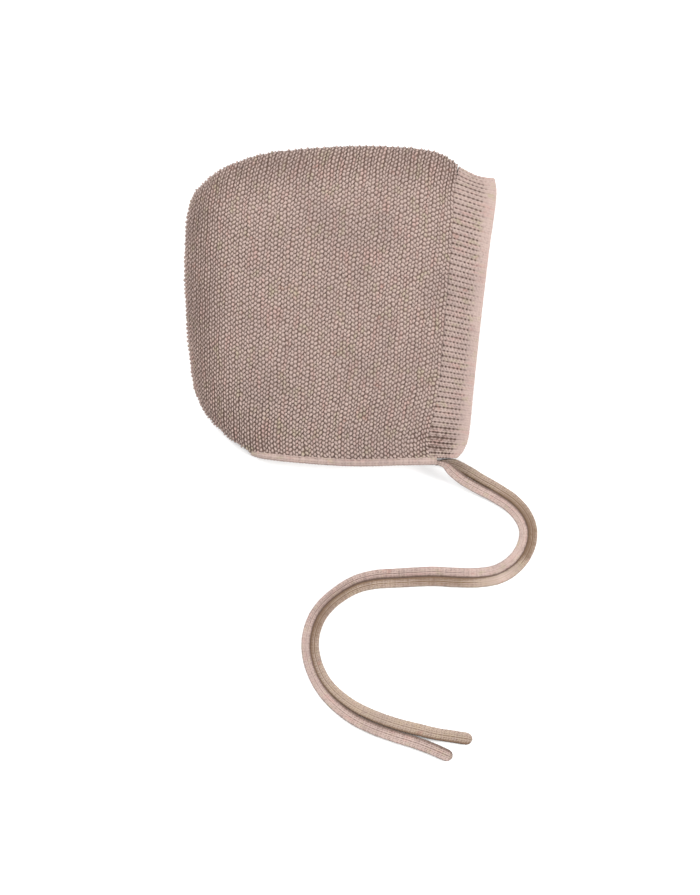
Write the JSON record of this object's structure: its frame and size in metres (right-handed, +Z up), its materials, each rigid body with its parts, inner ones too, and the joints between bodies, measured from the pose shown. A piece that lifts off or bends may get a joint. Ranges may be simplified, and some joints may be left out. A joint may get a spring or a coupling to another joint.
{
  "type": "knitted baby bonnet with two ties",
  "caption": "Knitted baby bonnet lying folded on its side, with a garter-stitch crown, a ribbed face band, a rolled neck binding and two flat ties.",
  "frame": {"origin": "on the table, under the middle of the folded bonnet without its ties", "axes": "+X out of the face opening, +Y to the top of the head, +Z up from the table"},
  "size_m": [0.1769, 0.3071, 0.023],
  "materials": {
    "crown_knit": "heathered beige-pink wool, garter stitch, matt with a fine fuzz",
    "rib_knit": "heathered wool rib, paler and pinker at the rolled face edge",
    "binding_knit": "heathered wool, smooth rolled edge",
    "tie_knit": "heathered wool, flat fine knit"
  },
  "bodies": {
    "root": {"crown": "crown_knit", "face_band": "rib_knit", "neck_binding": "binding_knit", "tie_upper": "tie_knit", "tie_lower": "tie_knit"}
  },
  "joints": []
}
